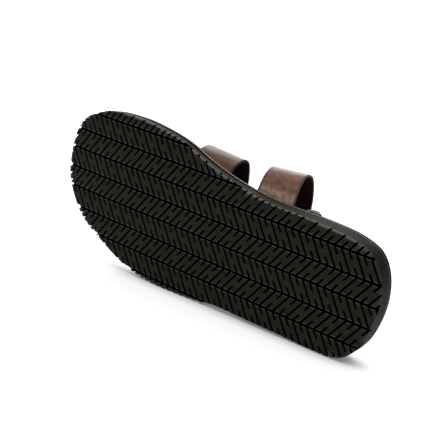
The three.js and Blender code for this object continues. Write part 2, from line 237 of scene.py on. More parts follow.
def soften(mesh, angle):
    """Smooth shading that breaks where two faces meet at more than the angle, in degrees."""
    mesh.shade_smooth()
    mesh.set_sharp_from_angle(angle=np.radians(angle))


def store(mesh, name, values):
    """One number for each vertex, for the materials to read."""
    attribute = mesh.attributes.new(name, "FLOAT", "POINT")
    attribute.data.foreach_set("value", np.asarray(values, np.float32))


def store_uv(mesh, name, values):
    """A UV map with one place for each vertex."""
    order = np.empty(len(mesh.loops), np.int32)
    mesh.loops.foreach_get("vertex_index", order)
    mesh.uv_layers.new(name=name).data.foreach_set("uv", values[order].astype(np.float32).reshape(-1))


def add_node(tree, kind, sockets=None, **settings):
    """A shader node with its settings, each input fed by another node's socket or set to a plain value."""
    node = tree.nodes.new(kind)
    for key, value in settings.items():
        setattr(node, key, value)
    for key, value in (sockets or {}).items():
        if isinstance(value, bpy.types.NodeSocket):
            tree.links.new(value, node.inputs[key])
        else:
            node.inputs[key].default_value = value
    return node


def ranged(tree, value, low, high, to_low=0.0, to_high=1.0):
    """A value's way from low to high as a number from to_low to to_high."""
    sockets = {"Value": value, "From Min": low, "From Max": high, "To Min": to_low, "To Max": to_high}
    return add_node(tree, "ShaderNodeMapRange", sockets).outputs[0]


def mixed(tree, share, first, second):
    """Two colours mixed by a share."""
    sockets = {0: share, 6: first, 7: second}
    return add_node(tree, "ShaderNodeMix", sockets, data_type="RGBA").outputs[2]


def maths(tree, operation, *values):
    """The result of one operation on other nodes' outputs or plain values."""
    return add_node(tree, "ShaderNodeMath", dict(enumerate(values)), operation=operation).outputs[0]


def stored(tree, name):
    """The number that each vertex was given under a name."""
    return add_node(tree, "ShaderNodeAttribute", attribute_name=name).outputs["Fac"]


def object_place(tree):
    """The place on the object, in metres."""
    return add_node(tree, "ShaderNodeTexCoord").outputs["Object"]


def rgb(red, green, blue):
    """A colour as light, from its 0 to 255 numbers on a screen."""
    share = np.array([red, green, blue]) / 255
    light = np.where(share <= 0.04045, share / 12.92, ((share + 0.055) / 1.055) ** 2.4)
    return (*light.tolist(), 1.0)


def new_group(name, given, made):
    """A node group with a coordinate and plain numbers going in and numbers coming out, and its ends."""
    group = bpy.data.node_groups.new(name, "ShaderNodeTree")
    group.interface.new_socket("Coordinate", in_out="INPUT", socket_type="NodeSocketVector")
    for label in given:
        group.interface.new_socket(label, in_out="INPUT", socket_type="NodeSocketFloat")
    for label in made:
        group.interface.new_socket(label, in_out="OUTPUT", socket_type="NodeSocketFloat")
    return group, group.nodes.new("NodeGroupInput").outputs, group.nodes.new("NodeGroupOutput").inputs


def mottle_group():
    """Soft patches and finer flecks, each from 0 to 1, for anything that isn't one even colour."""
    group, given, out = new_group("mottle", ("Patch scale", "Fleck scale"), ("Patches", "Flecks"))
    for name, scale, detail, low, high in (("Patches", "Patch scale", 3, 0.36, 0.64),
                                           ("Flecks", "Fleck scale", 5, 0.30, 0.70)):
        sockets = {"Vector": given["Coordinate"], "Scale": given[scale], "Detail": detail}
        noise = add_node(group, "ShaderNodeTexNoise", sockets).outputs[0]
        group.links.new(ranged(group, noise, low, high), out[name])
    return group


MOTTLE = mottle_group()


def new_material(name, **plain):
    """A material with its Principled shader, whose plain inputs are set on its own sockets."""
    material = bpy.data.materials.new(name)
    material.use_nodes = True
    shader = material.node_tree.nodes["Principled BSDF"]
    for key, value in plain.items():
        shader.inputs[key.replace("_", " ")].default_value = value
    return material, material.node_tree, shader


def use_mottle(tree, coordinate, patch_scale, fleck_scale):
    """The mottle of one material, with its own sizes given in patches and flecks to the metre."""
    sockets = {"Coordinate": coordinate, "Patch scale": patch_scale, "Fleck scale": fleck_scale}
    node = add_node(tree, "ShaderNodeGroup", sockets, node_tree=MOTTLE)
    return node.outputs["Patches"], node.outputs["Flecks"]


def add_bump(tree, shader, height, strength, depth_mm):
    """A bump of a depth in millimetres on the shader's normal."""
    sockets = {"Height": height, "Strength": strength, "Distance": depth_mm * MM}
    tree.links.new(add_node(tree, "ShaderNodeBump", sockets).outputs[0], shader.inputs["Normal"])


def rubber_material(name, dark, light, gloss, highlighted):
    """Matt moulded rubber, mottled in patches and flecks. Where tread_depth says so it is painted paler, up
    to a share:
    a painted highlight on the lugs' bevels and low on the wall. Where heel_shade says so the wall is painted
    darker as shade."""
    material, tree, shader = new_material(name, Specular_IOR_Level=gloss)
    place = object_place(tree)
    patches, flecks = use_mottle(tree, place, 260.0, 1100.0)
    colour = mixed(tree, ranged(tree, patches, 0, 1, 0.0, 0.6), dark, light)
    colour = mixed(tree, ranged(tree, flecks, 0.4, 1, 0.0, 0.7), colour, light)
    if highlighted:
        # Painted highlight: the lugs' bevels and the low wall are painted paler.
        painted_light_share = ranged(tree, stored(tree, "tread_depth"), 0.02, 0.4, 0.0, highlighted)
        colour = mixed(tree, painted_light_share, colour, RUBBER_HIGHLIGHT)
        # Painted shade: the wall is darker round the heel end.
        colour = mixed(tree, stored(tree, "heel_shade"), colour, HEEL_SHADE_RUBBER)
    tree.links.new(colour, shader.inputs["Base Color"])
    tree.links.new(ranged(tree, flecks, 0, 1, 0.5, 0.75), shader.inputs["Roughness"])
    add_bump(tree, shader, flecks, 0.6, 0.15)
    return material


# The paler colour of the painted highlight on the bevels and the low wall.
RUBBER_HIGHLIGHT = rgb(112, 111, 103)
HEEL_SHADE_RUBBER = rgb(18, 18, 15)
lug_rubber = rubber_material("lug_rubber", rgb(15, 16, 11), rgb(33, 34, 27), 0.12, 0.4)
# The wall is the same rubber as the lugs, painted paler: painted light from above.
lit_wall_rubber = rubber_material("lit_wall_rubber", rgb(37, 35, 29), rgb(61, 58, 48), 0.05, 0.9)
# Near black for the grooves and the joints by the wall: painted shade.
black_edge_and_painted_shade = rubber_material("black_edge_and_painted_shade", rgb(1, 1, 1), rgb(3, 3, 3), 0.0, 0.0)

# The first line between rows lies this far towards the inner side, and one lug groove this far from the heel.
FIRST_ROW_LINE = 64.9
LUG_PHASE = 1.24
ROW_PITCH = 15.56
ROWS = 9
LUG_PITCH = 11.39
LUG_SLANT = 0.936 * LUG_PITCH
ROW_GROOVE_WIDTH = 1.9
ROW_BEVEL = 0.9
LUG_GROOVE_WIDTH = 1.95
LUG_BEVEL = 0.25
BEVEL_DEPTH = 0.4
GROOVE_DEPTH = 2.5
GROOVE_DRAFT = 0.15
SLIT_LENGTH = 5.7
SLAB_TOP = 60.0


def groove_profile(distance, width, bevel):
    """The depth of a groove at a distance from its middle: a flat floor, steep walls and a small bevel."""
    edges = (width / 2 - GROOVE_DRAFT, width / 2, width / 2 + bevel)
    return np.interp(distance, edges, (GROOVE_DEPTH, BEVEL_DEPTH, 0.0))


def closed_slab(x, y, z, top):
    """A height field with flat walls and lid: its border is repeated at the lid's height."""
    x, y, z = (np.pad(values, 1, mode="edge") for values in (x, y, z))
    z[[0, -1], :] = top
    z[:, [0, -1]] = top
    under = np.stack([x, y, z], -1).reshape(-1, 3)
    lid = np.stack([x, y, np.full_like(z, top)], -1).reshape(-1, 3)
    cells = grid_triangles(*x.shape)
    return weld(np.concatenate([under, lid]), np.concatenate([cells[:, ::-1], cells + len(under)]))


def tread_slab():
    """The tread as one grid. Its columns lean with the lugs, one way and the other in turn, and its lines
    follow the rows. Every second column groove is full and the ones between are slits from both lines."""
    edge = LUG_GROOVE_WIDTH / 2
    floor_edge = edge - GROOVE_DRAFT
    across = np.array([-edge - LUG_BEVEL, -edge, -floor_edge, floor_edge, edge, edge + LUG_BEVEL])
    halves = np.arange(-4, int(2 * SOLE_LENGTH / LUG_PITCH) + 5)
    columns = (LUG_PHASE + halves * LUG_PITCH / 2)[:, None] + across
    column_depth = np.tile(groove_profile(np.abs(across), LUG_GROOVE_WIDTH, LUG_BEVEL), len(halves))
    parity = np.repeat(halves % 2, len(across))
    row_edge = ROW_GROOVE_WIDTH / 2
    near = [0, row_edge - GROOVE_DRAFT, row_edge, row_edge + ROW_BEVEL, SLIT_LENGTH - GROOVE_DRAFT,
            SLIT_LENGTH, SLIT_LENGTH + LUG_BEVEL]
    down = np.array(near + [ROW_PITCH / 2] + [ROW_PITCH - d for d in near[::-1]])
    row = np.repeat(np.arange(ROWS), len(down) - 1)
    down = np.tile(down[:-1], ROWS)
    to_line = np.minimum(down, ROW_PITCH - down)[:, None]
    lean = np.where(row % 2 == 0, 1, -1)
    x = columns.reshape(1, -1) + (lean * LUG_SLANT * (down / ROW_PITCH - 0.5))[:, None]
    y = np.broadcast_to((FIRST_ROW_LINE - (row - 1) * ROW_PITCH - down)[:, None], x.shape)
    full = (parity[None, :] + row[:, None]) % 2 == 0
    slit_end = groove_profile(to_line, 2 * SLIT_LENGTH, LUG_BEVEL)
    slanted = np.where(full, column_depth[None, :], np.minimum(column_depth[None, :], slit_end))
    z = np.maximum(groove_profile(to_line, ROW_GROOVE_WIDTH, ROW_BEVEL), slanted) + toe_spring(x)
    return closed_slab(x, y.copy(), z, SLAB_TOP)


# The wall from the ground to the foot side, as inset and height: a tight ground edge and a straight wall.
# The top of the wall is painted black in a band that narrows towards the heel: painted shade of the joint.
GROUND_EDGE = [(0.6, -0.7), (0.28, 0.0), (0.12, 0.14), (0.02, 0.4), (0.0, 0.8)]
WALL_STRAIGHT = 6.3
WALL = [(0.0, height) for height in np.linspace(0.8, WALL_STRAIGHT, 8)[1:]]
WALL_TOP = [(0.0, OUTSOLE_HEIGHT - 0.06), (0.06, OUTSOLE_HEIGHT), (1.3, OUTSOLE_HEIGHT + 0.02),
            (1.9, OUTSOLE_HEIGHT + 0.25)]
# The wall takes up the heel's lift between this height and the end of its straight part.
LIFT_BASE = 1.0
JOINT_SHADE_EDGE = 0.04
LID_COLUMNS = 6
# Where the layers' heights are given, from the heel tip: at the heel, before it and at the arch.
HEEL_TO_ARCH = (25, 70, 130)


def joint_shade_band(x):
    """The height of the band of painted shade under the wall's top."""
    return np.interp(x, HEEL_TO_ARCH, (0.4, 0.8, 1.4))


def outsole_rings():
    """The plain outsole. The heel's lift is spread over its wall, so the tread stays flat."""
    shade_bottom = OUTSOLE_HEIGHT - joint_shade_band(OUTLINE[:, 0])
    profile = GROUND_EDGE + WALL + [(0.0, shade_bottom - JOINT_SHADE_EDGE), (0.0, shade_bottom)] + WALL_TOP
    rings = []
    for inset, height in profile:
        lifted = np.clip((height - LIFT_BASE) / (WALL_STRAIGHT - LIFT_BASE), 0, 1)
        rings.append(sole_ring(inset, height, lifted))
    return rings


def cut_to_tread(name, body, slab):
    """The body's overlap with the slab, which cuts the lugs to the outline and runs the grooves out."""
    plain = make_piece(name + "_plain", *body)
    tread = make_piece(name + "_tread", *slab)
    cut = plain.modifiers.new("tread", "BOOLEAN")
    cut.operation = "INTERSECT"
    cut.solver = "MANIFOLD"
    cut.object = tread
    mesh = bpy.data.meshes.new_from_object(plain.evaluated_get(bpy.context.evaluated_depsgraph_get()))
    bpy.data.objects.remove(plain)
    bpy.data.objects.remove(tread)
    mesh.name = name
    return add_object(name, mesh)


def in_sole(items, name):
    """One property of every vertex or face of a mesh, turned to the sole frame: places or normals."""
    values = np.empty(3 * len(items), np.float32)
    items.foreach_get(name, values)
    rows = values.astype(float).reshape(-1, 3)
    return rows @ SOLE_AXES.T if name == "normal" else (rows - SOLE_ORIGIN) @ SOLE_AXES.T / MM


def paint(mesh, numbers):
    """The number of each face's material."""
    mesh.polygons.foreach_set("material_index", numbers.astype(np.int32))


def nearest_station(points):
    """The outline's station nearest to each point, found for a few thousand points at a time."""
    parts = np.array_split(points[:, :2], 1 + len(points) // 4000)
    return np.concatenate([np.argmin(((part[:, None] - OUTLINE) ** 2).sum(-1), 1) for part in parts])


def inset_of(points, station):
    """How far each point lies inside the outline at its station."""
    return ((points[:, :2] - OUTLINE[station]) * OUTLINE_INWARD[station]).sum(-1)


# A face belongs to the wall where it faces outwards and lies near the outline. The wall is painted paler as a
# highlight up to a height, and painted darker as shade round the heel, from the first of two places to the
# second.
OUTWARD_FACING = 0.6
WALL_REACH = 0.3
LOW_HIGHLIGHT_HEIGHT = 2.8
LOW_HIGHLIGHT_FADE = 0.8
LOW_HIGHLIGHT_SHARE = 0.4
HEEL_SHADE_DARKNESS = 0.8
HEEL_SHADE_SPAN = (8, 32)
outsole = cut_to_tread("outsole_tread", layer(outsole_rings(), LID_COLUMNS, flat_across), tread_slab())
mesh = outsole.data
corners = in_sole(mesh.vertices, "co")
depth = corners[:, 2] - toe_spring(corners[:, 0])
centres = in_sole(mesh.polygons, "center")
facing = in_sole(mesh.polygons, "normal")
station = nearest_station(centres)
centre_depth = centres[:, 2] - toe_spring(centres[:, 0])
expected = end_taper(centres[:, 0], centre_depth)
outwards = -(facing[:, :2] * OUTLINE_INWARD[station]).sum(-1)
on_wall = (outwards > OUTWARD_FACING) & (np.abs(inset_of(centres, station) - expected) < WALL_REACH)
on_wall |= centre_depth > GROOVE_DEPTH + 0.1
in_groove = ~on_wall & (centre_depth > BEVEL_DEPTH + 0.05)
wall_height = centre_depth - heel_lift(centres[:, 0])
in_joint_shade = wall_height > OUTSOLE_HEIGHT - joint_shade_band(centres[:, 0]) - JOINT_SHADE_EDGE / 4
mesh.materials.clear()
for material in (lug_rubber, lit_wall_rubber, black_edge_and_painted_shade):
    mesh.materials.append(material)
# Grooves and the joint band take the near-black painted shade.
paint(mesh, np.where(in_groove | in_joint_shade, 2, on_wall))
inside_wall = inset_of(corners, nearest_station(corners)) - end_taper(corners[:, 0], depth) > WALL_REACH
# Painted highlight low on the wall, paler towards the ground edge.
low_wall_highlight = np.clip((LOW_HIGHLIGHT_HEIGHT - depth) / LOW_HIGHLIGHT_FADE, 0, 1) * LOW_HIGHLIGHT_SHARE
store(mesh, "tread_depth", np.where(inside_wall, np.clip(depth, 0, BEVEL_DEPTH), low_wall_highlight))
# Painted shade round the heel end of the wall.
heel_shade_end = np.interp(corners[:, 0], HEEL_SHADE_SPAN, (HEEL_SHADE_DARKNESS, 0))
store(mesh, "heel_shade", np.where(inside_wall, 0, heel_shade_end))
soften(mesh, 28)
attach(outsole, "root")
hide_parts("outsole")

# Midsole: a thin strip of leather board between the outsole and the footbed, with fine ticks round its edge.
# A black band under it and a thin dark line over it are painted shade of the joints.
RECESS = 1.5


def strip_bottom(x):
    """The height of the strip's lower edge, over the painted shade of the joint."""
    return np.interp(x, HEEL_TO_ARCH, (8.3, 8.6, 9.3))


def strip_top(x):
    """The height of the strip's upper edge."""
    return np.interp(x, HEEL_TO_ARCH, (9.9, 10.5, 11.3))


bottom_edge = strip_bottom(OUTLINE[:, 0])
top_edge = strip_top(OUTLINE[:, 0])
midsole_profile = [(RECESS, OUTSOLE_HEIGHT + 0.03), (0.1, OUTSOLE_HEIGHT + 0.05), (0.1, bottom_edge - 0.04),
                   (0.06, bottom_edge), (0.04, bottom_edge + 0.1), (0.04, top_edge - 0.1), (0.08, top_edge),
                   (0.2, top_edge + 0.05), (RECESS, top_edge + 0.1), (RECESS, RIM_HEIGHT - 0.6)]
EDGE_TICKS = 220
midsole_leather, tree, shader = new_material("midsole_leather", Roughness=0.55, Specular_IOR_Level=0.3)
place = object_place(tree)
_, flecks = use_mottle(tree, place, 320.0, 1400.0)
colour = mixed(tree, flecks, rgb(104, 98, 90), rgb(150, 144, 134))
colour = mixed(tree, stored(tree, "darkened"), colour, rgb(46, 43, 38))
edge_place = add_node(tree, "ShaderNodeUVMap", uv_map="edge").outputs[0]
way = add_node(tree, "ShaderNodeSeparateXYZ", {0: edge_place}).outputs[0]
ticks = maths(tree, "SINE", maths(tree, "MULTIPLY", way, 2 * np.pi * EDGE_TICKS))
colour = mixed(tree, ranged(tree, ticks, 0.3, 0.9, 0.0, 0.45), colour, rgb(52, 46, 40))
tree.links.new(colour, shader.inputs["Base Color"])
add_bump(tree, shader, ticks, 0.5, 0.2)
# How dark the strip is at distances from the heel tip.
STRIP_DARKNESS = ((8, 1.0), (24, 0.5), (70, 0.0), (190, 0.0), (230, 0.4))
midsole_rings = [sole_ring(inset, h) for inset, h in midsole_profile]
midsole_layer = layer(midsole_rings, LID_COLUMNS, flat_across)
midsole = make_piece("midsole_strip", *midsole_layer, [midsole_leather, black_edge_and_painted_shade])
corners = in_sole(midsole.data.vertices, "co")
station = nearest_station(corners)
store(midsole.data, "darkened", np.interp(corners[:, 0], *zip(*STRIP_DARKNESS)))
store_uv(midsole.data, "edge", np.stack([station / len(OUTLINE), corners[:, 2] / RIM_HEIGHT], -1))
centres = in_sole(midsole.data.polygons, "center")
height = centres[:, 2] - heel_lift(centres[:, 0]) - toe_spring(centres[:, 0])
in_strip = (height > strip_bottom(centres[:, 0])) & (height < strip_top(centres[:, 0]))
# Faces off the strip, under it and over it, take the near-black painted shade.
paint(midsole.data, ~in_strip)
soften(midsole.data, 40)
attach(midsole, "root")
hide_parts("midsole")

# Footbed: soft leather pulled over a foam pad. A flat rim runs round it, then a trough, burnished and painted
# with shade, then the pad with its gentle crown. The rim's inner side lifts a little behind the rear strap.
PAD_CROWN = 2.3
PAD_FULLNESS = 2.5
PAD_END_LENGTH = 45
PAD_COLUMNS = 40
LIP_MIDDLE = 71.2
LIP_LENGTH = 6.2
LIP_STEEPNESS = 1.9
LIP_RISE = 4.8
LIP_SWELL = 1.2
# The lip is painted pale grey as sheen this far in from its edge, and from this much over the rim.
LIP_SHEEN_REACH = 1.5
LIP_SHEEN_START = 0.4
# The rim is raised from this height up, fully this much above it, and less and less over a width inwards.
FOLD_START = 10.6
FOLD_HEIGHT = 1.5
RAISED_WIDTH = 8
# Up to this height the footbed's folded edge is blackened. Round the heel it stands higher.
EDGE_TOP = 12.05
HEEL_EDGE_RISE = 1.2
HEEL_EDGE_SPAN = (25, 95)
# How dark the leather is painted at distances from the edge: burnished on the fold, and in the trough
# burnished with painted shade.
BURNISH_AND_SHADE = ((0.9, 1.0), (1.6, 0.0), (9.0, 0.0), (11.5, 0.9), (13.0, 0.9), (16.5, 0.15), (18.0, 0.0))
edge_start = top_edge + 0.2
footbed_profile = [(RECESS, edge_start), (0.5, edge_start + 0.02), (0.3, edge_start + 0.12),
                   (0.2, edge_start + 0.3), (0.2, 11.85), (0.3, 12.08),
                   (0.6, 12.24), (1.1, 12.31), (2.2, 12.33), (4.0, 12.33), (6.0, 12.3), (8.0, 12.25),
                   (9.3, 12.15), (10.3, 11.9), (11.2, 11.5), (12.0, 11.3), (12.8, 11.35), (13.6, 11.75),
                   (14.5, 12.45), (15.5, 13.2), (16.7, 13.85), (18.2, 14.35), (20.0, 14.7), (22.0, 14.9)]


def heel_edge_rise(x):
    """How much higher the folded edge stands round the heel."""
    return np.interp(x, HEEL_EDGE_SPAN, (HEEL_EDGE_RISE, 0.0))


def footbed_ring(inset, height):
    """A ring of the footbed, higher round the heel, with the lip swelling out and up near the rear strap."""
    ring = sole_ring(inset, height)
    raised = np.clip((height - FOLD_START) / FOLD_HEIGHT, 0, 1) * np.clip(1 - inset / RAISED_WIDTH, 0, 1)
    ring[:, 2] += heel_edge_rise(ring[:, 0]) * raised
    inner = np.arange(len(ring)) < STATIONS
    lip = inner * np.clip(LIP_STEEPNESS * (1 - np.abs(ring[:, 0] - LIP_MIDDLE) / LIP_LENGTH), 0, 1)
    lip = lip * lip * (3 - 2 * lip) * raised
    ring[:, 2] += LIP_RISE * lip
    ring[:, :2] -= (LIP_SWELL * lip)[:, None] * OUTLINE_INWARD
    return ring


def pad_crown(x, v):
    """The pad's height over its edge: full in the middle, and none at its inner and outer edges."""
    ends = np.clip(np.minimum(x, SOLE_LENGTH - x) / PAD_END_LENGTH, 0, 1)
    return PAD_CROWN * (1 - np.abs(2 * v - 1) ** PAD_FULLNESS) * np.sin(ends * np.pi / 2)


def leather_group():
    """Leather's grain as a height: fine pores between little plates, over a slower unevenness."""
    group, given, out = new_group("leather_grain", ("Plate scale",), ("Height",))
    sockets = {"Vector": given["Coordinate"], "Scale": given["Plate scale"]}
    plates = add_node(group, "ShaderNodeTexVoronoi", sockets, feature="DISTANCE_TO_EDGE")
    pores = ranged(group, plates.outputs[0], 0.0, 0.16)
    sockets = {"Vector": given["Coordinate"], "Scale": 160.0, "Detail": 4}
    swell = add_node(group, "ShaderNodeTexNoise", sockets).outputs[0]
    group.links.new(maths(group, "MULTIPLY_ADD", pores, 0.35, swell), out["Height"])
    return group


LEATHER_GRAIN = leather_group()


def use_grain(tree, coordinate, plate_scale):
    """The leather grain of one material, with its plates to the metre."""
    sockets = {"Coordinate": coordinate, "Plate scale": plate_scale}
    return add_node(tree, "ShaderNodeGroup", sockets, node_tree=LEATHER_GRAIN).outputs["Height"]


FOOTBED_LEATHER = rgb(108, 88, 76)
FOOTBED_LEATHER_DARK = rgb(84, 64, 52)
BURNISHED_AND_SHADED_LEATHER = rgb(12, 9, 7)
# Pale grey painted sheen on the lip.
LIP_SHEEN = rgb(150, 145, 136)
footbed_leather, tree, shader = new_material("footbed_leather", Coat_Roughness=0.38,
                                             Specular_IOR_Level=0.25)
place = object_place(tree)
patches, flecks = use_mottle(tree, place, 45.0, 420.0)
burnish_and_shade = stored(tree, "burnish_and_shade")
tree.links.new(ranged(tree, burnish_and_shade, 0, 1, 0.15, 0.0), shader.inputs["Coat Weight"])
colour = mixed(tree, patches, FOOTBED_LEATHER_DARK, FOOTBED_LEATHER)
# Darker on the burnished fold, and in the trough, where the darkening is burnish and painted shade.
colour = mixed(tree, burnish_and_shade, colour, BURNISHED_AND_SHADED_LEATHER)
# Painted sheen on the lip.
colour = mixed(tree, stored(tree, "lip"), colour, LIP_SHEEN)
tree.links.new(colour, shader.inputs["Base Color"])
tree.links.new(ranged(tree, flecks, 0, 1, 0.42, 0.56), shader.inputs["Roughness"])
add_bump(tree, shader, use_grain(tree, place, 1250.0), 0.45, 0.12)
footbed_rings = [footbed_ring(inset, h) for inset, h in footbed_profile]
footbed_layer = layer(footbed_rings, PAD_COLUMNS, pad_crown)
footbed = make_piece("footbed_pad", *footbed_layer, [footbed_leather, black_edge_and_painted_shade])
corners = in_sole(footbed.data.vertices, "co")
inset = inset_of(corners, nearest_station(corners))
inset -= end_taper(corners[:, 0], corners[:, 2] - heel_lift(corners[:, 0]))
store(footbed.data, "burnish_and_shade", np.interp(inset, *zip(*BURNISH_AND_SHADE)))
lip_sheen_mask = (inset < LIP_SHEEN_REACH) & (corners[:, 1] > 0) & (np.abs(corners[:, 0] - LIP_MIDDLE) < LIP_LENGTH)
store(footbed.data, "lip", lip_sheen_mask & (corners[:, 2] - heel_lift(corners[:, 0]) > RIM_HEIGHT + LIP_SHEEN_START))
centres = in_sole(footbed.data.polygons, "center")
height = centres[:, 2] - heel_lift(centres[:, 0]) - toe_spring(centres[:, 0])
on_edge = inset_of(centres, nearest_station(centres)) - end_taper(centres[:, 0], height) < 1
paint(footbed.data, on_edge & (height < EDGE_TOP + heel_edge_rise(centres[:, 0])))
soften(footbed.data, 50)
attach(footbed, "root")
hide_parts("footbed")

# Straps: two broad bands of smooth mottled brown leather with a thin dark lining, their cut edges painted.
# They stand in the footbed near its rim, and swing out over the inner side.
STRAP_WIDTH = 30.0
STRAP_THICKNESS = 2.4
LINING_THICKNESS = 0.9
STRAP_FOOT_INSET = 7.0
INSTEP_HEIGHT = 45.0
INNER_SWING = 24.0
OUTER_SWING = 9.6
FOOT_BOTTOM = 10.3
SLOT_TOP = 12.9
# Where each strap's middle stands on the inner and outer side, as shares of the sole's length. Then for its
# toe edge and its heel edge: the half width at the inner and outer foot and the bow towards the toe half way
# up the inner side, in millimetres, the lean towards the toe, and the crown and swings as shares of sizes.
STRAPS = {
    "strap_front": (0.555, 0.524,
                    (13.5, 15, 0, 0.16, 0.73, 0.19, 0.74),
                    (-18, -9, 0, 0.14, 0.88, 0.50, 0.84)),
    "strap_rear": (0.356, 0.331,
                   (15, 16, 0, 0.23, 0.96, 0.80, 1.00),
                   (-15, -13, 2.1, 0.215, 0.99, 1.00, 0.89)),
}
# The arch from the inner to the outer foot: the way across, the two swings and the rise, as shares.
ARCH = np.array([
    (0.00, 0.38, 0.00, 0.13), (0.00, 0.75, 0.00, 0.27), (0.00, 0.96, 0.00, 0.46), (0.00, 1.00, 0.00, 0.65),
    (0.03, 0.95, 0.00, 0.84), (0.12, 0.80, 0.00, 0.96), (0.30, 0.40, 0.00, 1.00), (0.52, 0.10, 0.00, 0.93),
    (0.72, 0.00, 0.00, 0.79), (0.88, 0.00, 0.20, 0.62), (1.00, 0.00, 0.72, 0.44), (1.00, 0.00, 1.00, 0.28),
    (1.00, 0.00, 0.62, 0.12),
])
STRAP_STATIONS = 220
CURVE_STEPS = 1200
# How much paler the leather is painted along a strap, as painted sheen, by the way from its nearer foot, and
# each strap's share of it.
LOW_SHEEN = ((8, 1.0), (13, 0.85), (18, 0.2), (40, 0.15))
LOW_SHEEN_SHARE = {"strap_front": 0.0, "strap_rear": 1.0}
# How much painted light the painted cut edges take near each strap's feet, darker ones being painted shade.
# Over the span they grow to their full painted light.
EDGE_PAINTED_LIGHT = {"strap_front": 0.1, "strap_rear": 0.9}
EDGE_PAINTED_LIGHT_SPAN = (28, 50)
# Creases bow a little on their way, and fade out down the cut edges between these two levels.
CREASE_BOW = 0.06
CREASED_LEVELS = (0.4, 1.0)
# Creases of each strap: how far up from the inner foot and how far across they start, in millimetres, with
# their length, slant in degrees, depth and width.
CREASES = {
    "strap_front": [(9, 6, 9, 20, 0.22, 1.6), (13, 14, 12, 8, 0.16, 2.2), (10, 22, 7, -12, 0.2, 1.4)],
    "strap_rear": [(12, 21, 10, 78, 0.30, 1.1), (13, 24, 11, 84, 0.34, 1.0), (11, 26.5, 9, 80, 0.26, 0.9),
                   (12, 15, 9, 52, 0.24, 1.5), (16, 9, 10, 38, 0.20, 1.8), (20, 18, 12, 12, 0.14, 2.6),
                   (36, 12, 16, 6, 0.12, 3.0)],
}


def side_point(distance, inner):
    """One point of a side of the outline at a distance from the heel, moved in to where a strap stands."""
    side = slice(0, STATIONS + 1) if inner else np.r_[0, np.arange(2 * STATIONS - 1, STATIONS - 1, -1)]
    points, directions = OUTLINE[side], OUTLINE_INWARD[side]
    found = [np.interp(distance, points[:, 0], column) for column in (*points.T, *directions.T)]
    return np.array(found[:2]) + STRAP_FOOT_INSET * np.array(found[2:])


def edge_points(inner, outer, bow, lean, crown, inner_swing, outer_swing):
    """The points of one strap edge, from its inner foot over the arch to its outer foot."""
    inner_rise = heel_lift(inner[0]) + toe_spring(inner[0])
    outer_rise = heel_lift(outer[0]) + toe_spring(outer[0])
    height = ARCH[:, 3] * crown * INSTEP_HEIGHT
    way = ARCH[:, 0]
    x = inner[0] + (outer[0] - inner[0]) * way + lean * height
    x += bow * 4 * ARCH[:, 3] * (1 - ARCH[:, 3]) * (way < 0.5)
    y = inner[1] + (outer[1] - inner[1]) * way
    y = y + ARCH[:, 1] * inner_swing * INNER_SWING - ARCH[:, 2] * outer_swing * OUTER_SWING
    z = RIM_HEIGHT + inner_rise + (outer_rise - inner_rise) * way + height
    inner_foot = [(*inner, FOOT_BOTTOM + inner_rise), (*inner, SLOT_TOP + inner_rise)]
    outer_foot = [(*outer, SLOT_TOP + outer_rise), (*outer, FOOT_BOTTOM + outer_rise)]
    return np.vstack([inner_foot, np.column_stack([x, y, z]), outer_foot])


def strap_frame(name):
    """The strap's two edge curves at even steps of its way, with that way in millimetres."""
    inner, outer, toe_edge, heel_edge = STRAPS[name]
    curves = []
    for inner_half, outer_half, *shape in (toe_edge, heel_edge):
        inner_foot = side_point(inner * SOLE_LENGTH + inner_half, True)
        outer_foot = side_point(outer * SOLE_LENGTH + outer_half, False)
        curves.append(edge_points(inner_foot, outer_foot, *shape))
    dense = np.linspace(0, 1, CURVE_STEPS)
    toe, heel = (smooth_curve(curve, dense, False) for curve in curves)
    middle = (toe + heel) / 2
    way = np.concatenate([[0], np.cumsum(np.linalg.norm(np.diff(middle, axis=0), axis=1))])
    even = np.linspace(0, way[-1], STRAP_STATIONS)
    toe, heel = (np.stack([np.interp(even, way, edge[:, k]) for k in range(3)], -1) for edge in (toe, heel))
    return toe, heel, even


def strap_point(strap, station, across, out):
    """Points of the band: across in millimetres from its toe edge, and out along its outward normal."""
    toe, heel, _ = strap
    width = np.linalg.norm(toe - heel, axis=1)
    v = (across / width[station])[..., None]
    base = toe[station] + (heel[station] - toe[station]) * v
    ahead = np.gradient(toe, axis=0)[station] * (1 - v) + np.gradient(heel, axis=0)[station] * v
    outwards = np.cross(ahead, (toe - heel)[station])
    outwards /= np.linalg.norm(outwards, axis=-1)[..., None]
    return base + out[..., None] * outwards


def crease_depth(name, way, across):
    """Soft troughs with a low ridge on each side, along the lines of the table."""
    depth = np.zeros(np.broadcast(way, across).shape)
    for up, start, length, slant, deep, wide in CREASES[name]:
        turn = np.radians(slant)
        along = (way - up) * np.sin(turn) + (across - start) * np.cos(turn)
        off = -(way - up) * np.cos(turn) + (across - start) * np.sin(turn)
        off = off + CREASE_BOW * (along - length / 2) ** 2 / length
        fade = np.clip(1 - (2 * along / length - 1) ** 2, 0, 1)
        depth -= deep * fade * (1 - (off / wide) ** 2) * np.exp(-(off / wide) ** 2)
    return depth


